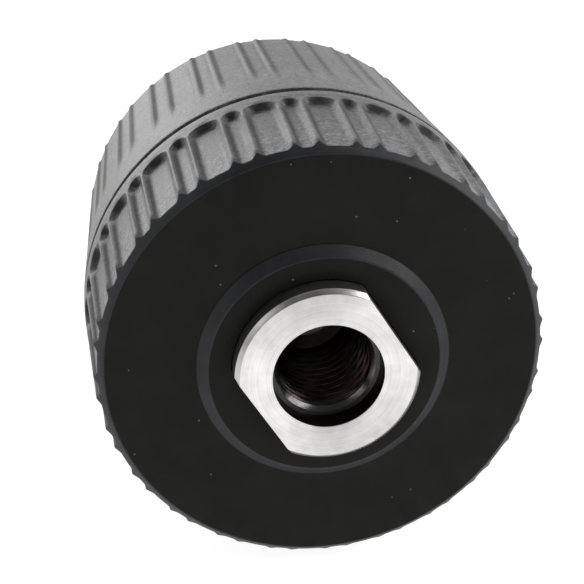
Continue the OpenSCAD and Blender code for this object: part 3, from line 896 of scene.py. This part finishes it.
hard = plain_metal("ground bearing steel", (0.5, 0.5, 0.51), (0.62, 0.62, 0.63), 0.2)
pressed = plain_metal("pressed sheet steel", (0.36, 0.36, 0.37), (0.5, 0.5, 0.51), 0.34)
jaw_steel = plain_metal("hardened jaw steel", (0.2, 0.2, 0.205), (0.34, 0.34, 0.35), 0.3)
black_steel = plain_metal("blackened steel", (0.035, 0.035, 0.037), (0.07, 0.07, 0.073), 0.38)
spring_steel = plain_metal("blued spring steel", (0.1, 0.11, 0.15), (0.2, 0.2, 0.25), 0.28)
brass = plain_metal("stamped brass", (0.6, 0.44, 0.2), (0.75, 0.58, 0.3), 0.28)
nylon = moulded("natural nylon", (0.66, 0.63, 0.54), (0.78, 0.75, 0.66), 0.5)
rubber = moulded("nitrile rubber", (0.015, 0.015, 0.015), (0.03, 0.03, 0.03), 0.6)
finishes = {
    "body_steel": side, "hard_steel": hard, "pressed_steel": pressed, "jaw_steel": jaw_steel,
    "nose_steel": black_steel, "spring_steel": spring_steel, "cage_brass": brass,
    "nylon": nylon, "rubber": rubber, "rear_plastic": rubber, "front_plastic": rubber,
}
for part in frame["record"]["subparts"]:
    wear(nodes[part["node"]], finishes[part["material_slot"]])

# ---------------------------------------------------------------------------------------------
# Floor, light and camera
# ---------------------------------------------------------------------------------------------
FLOOR_HALF = 4.0
FLOOR_GLOW = 0.9
# name, place in metres, side in metres, watts
SOFTBOXES = [
    ("left softbox", (-0.46, -0.16, 0.26), 0.3, 0.28),
    ("right softbox", (0.46, -0.13, 0.3), 0.35, 2.2),
    ("back softbox", (-0.25, 0.5, 0.2), 0.4, 1.2),
]
LAMPS_AIM = Vector((0, 0.02, 0))
WORLD_FRONT, WORLD_BACK, WORLD_ABOVE = 0.12, 1.25, 0.8
AZIMUTH, ELEVATION = -8.15, 24.0
DISTANCE = 124.7
AIM = Vector((-2.95, 2.9, 7.24))
LENS, SENSOR = 86.3, 36.0


def glow(name, colour, strength):
    """A matt material that also gives off white light."""
    material = bpy.data.materials.new(name)
    material.use_nodes = True
    shader = material.node_tree.nodes["Principled BSDF"]
    shader.inputs["Base Color"].default_value = (*colour, 1)
    shader.inputs["Roughness"].default_value = 0.9
    shader.inputs["Specular IOR Level"].default_value = 0.1
    shader.inputs["Emission Color"].default_value = (1, 1, 1, 1)
    shader.inputs["Emission Strength"].default_value = strength
    return material


def floor():
    """A square plane under the chuck, centred on it."""
    mesh = bpy.data.meshes.new("floor")
    sides = [(-1, -1), (1, -1), (1, 1), (-1, 1)]
    corners = [(x * FLOOR_HALF, y * FLOOR_HALF, cad_box[0].z) for x, y in sides]
    mesh.from_pydata(corners, [], [(0, 1, 2, 3)])
    mesh.materials.append(glow("pale floor", (0.3, 0.3, 0.3), FLOOR_GLOW))
    piece = bpy.data.objects.new("floor", mesh)
    bpy.context.scene.collection.objects.link(piece)


def softbox(name, place, size, watts):
    """A square lamp at a place in metres, facing the chuck."""
    lamp = bpy.data.lights.new(name, "AREA")
    lamp.shape = "SQUARE"
    lamp.size = size
    lamp.energy = watts
    piece = bpy.data.objects.new(name, lamp)
    bpy.context.scene.collection.objects.link(piece)
    piece.location = place
    aim = LAMPS_AIM - piece.location
    piece.rotation_euler = aim.to_track_quat("-Z", "Y").to_euler()
    piece.visible_camera = False


def surroundings():
    """Bright behind at the horizon, dimmer above and in front, and white where the camera sees it."""
    world = bpy.data.worlds.new("studio")
    bpy.context.scene.world = world
    world.use_nodes = True
    tree = world.node_tree

    def ramp(value, low, high, to_low, to_high):
        made = tree.nodes.new("ShaderNodeMapRange")
        made.interpolation_type = "SMOOTHSTEP"
        tree.links.new(value, made.inputs["Value"])
        for key, number in (("From Min", low), ("From Max", high), ("To Min", to_low), ("To Max", to_high)):
            made.inputs[key].default_value = number
        return made.outputs["Result"]

    def joined(operation, a, b):
        made = tree.nodes.new("ShaderNodeMath")
        made.operation = operation
        tree.links.new(a, made.inputs[0])
        tree.links.new(b, made.inputs[1])
        return made.outputs[0]

    apart = tree.nodes.new("ShaderNodeSeparateXYZ")
    tree.links.new(tree.nodes.new("ShaderNodeTexCoord").outputs["Generated"], apart.inputs[0])
    behind = ramp(apart.outputs["Y"], -0.3, 0.6, WORLD_FRONT, WORLD_BACK)
    above = ramp(apart.outputs["Z"], 0.1, 0.6, 1.0, WORLD_ABOVE)
    seen = tree.nodes.new("ShaderNodeLightPath").outputs["Is Camera Ray"]
    out = tree.nodes["Background"]
    out.inputs["Color"].default_value = (1, 1, 1, 1)
    tree.links.new(joined("MAXIMUM", joined("MULTIPLY", behind, above), seen), out.inputs["Strength"])


def camera():
    """The scene's camera, at the angle and distance given above."""
    data = bpy.data.cameras.new("camera")
    data.lens = LENS
    data.sensor_width = SENSOR
    data.clip_start = 0.01
    data.clip_end = 20
    piece = bpy.data.objects.new("camera", data)
    bpy.context.scene.collection.objects.link(piece)
    turn, lift = math.radians(AZIMUTH), math.radians(ELEVATION)
    back = Vector((math.sin(turn) * math.cos(lift), -math.cos(turn) * math.cos(lift), math.sin(lift)))
    piece.location = (AIM + back * DISTANCE) * MM
    piece.rotation_euler = (-back).to_track_quat("-Z", "Y").to_euler()
    bpy.context.scene.camera = piece


floor()
for lamp in SOFTBOXES:
    softbox(*lamp)
surroundings()
camera()
bpy.context.scene.view_settings.view_transform = "Standard"
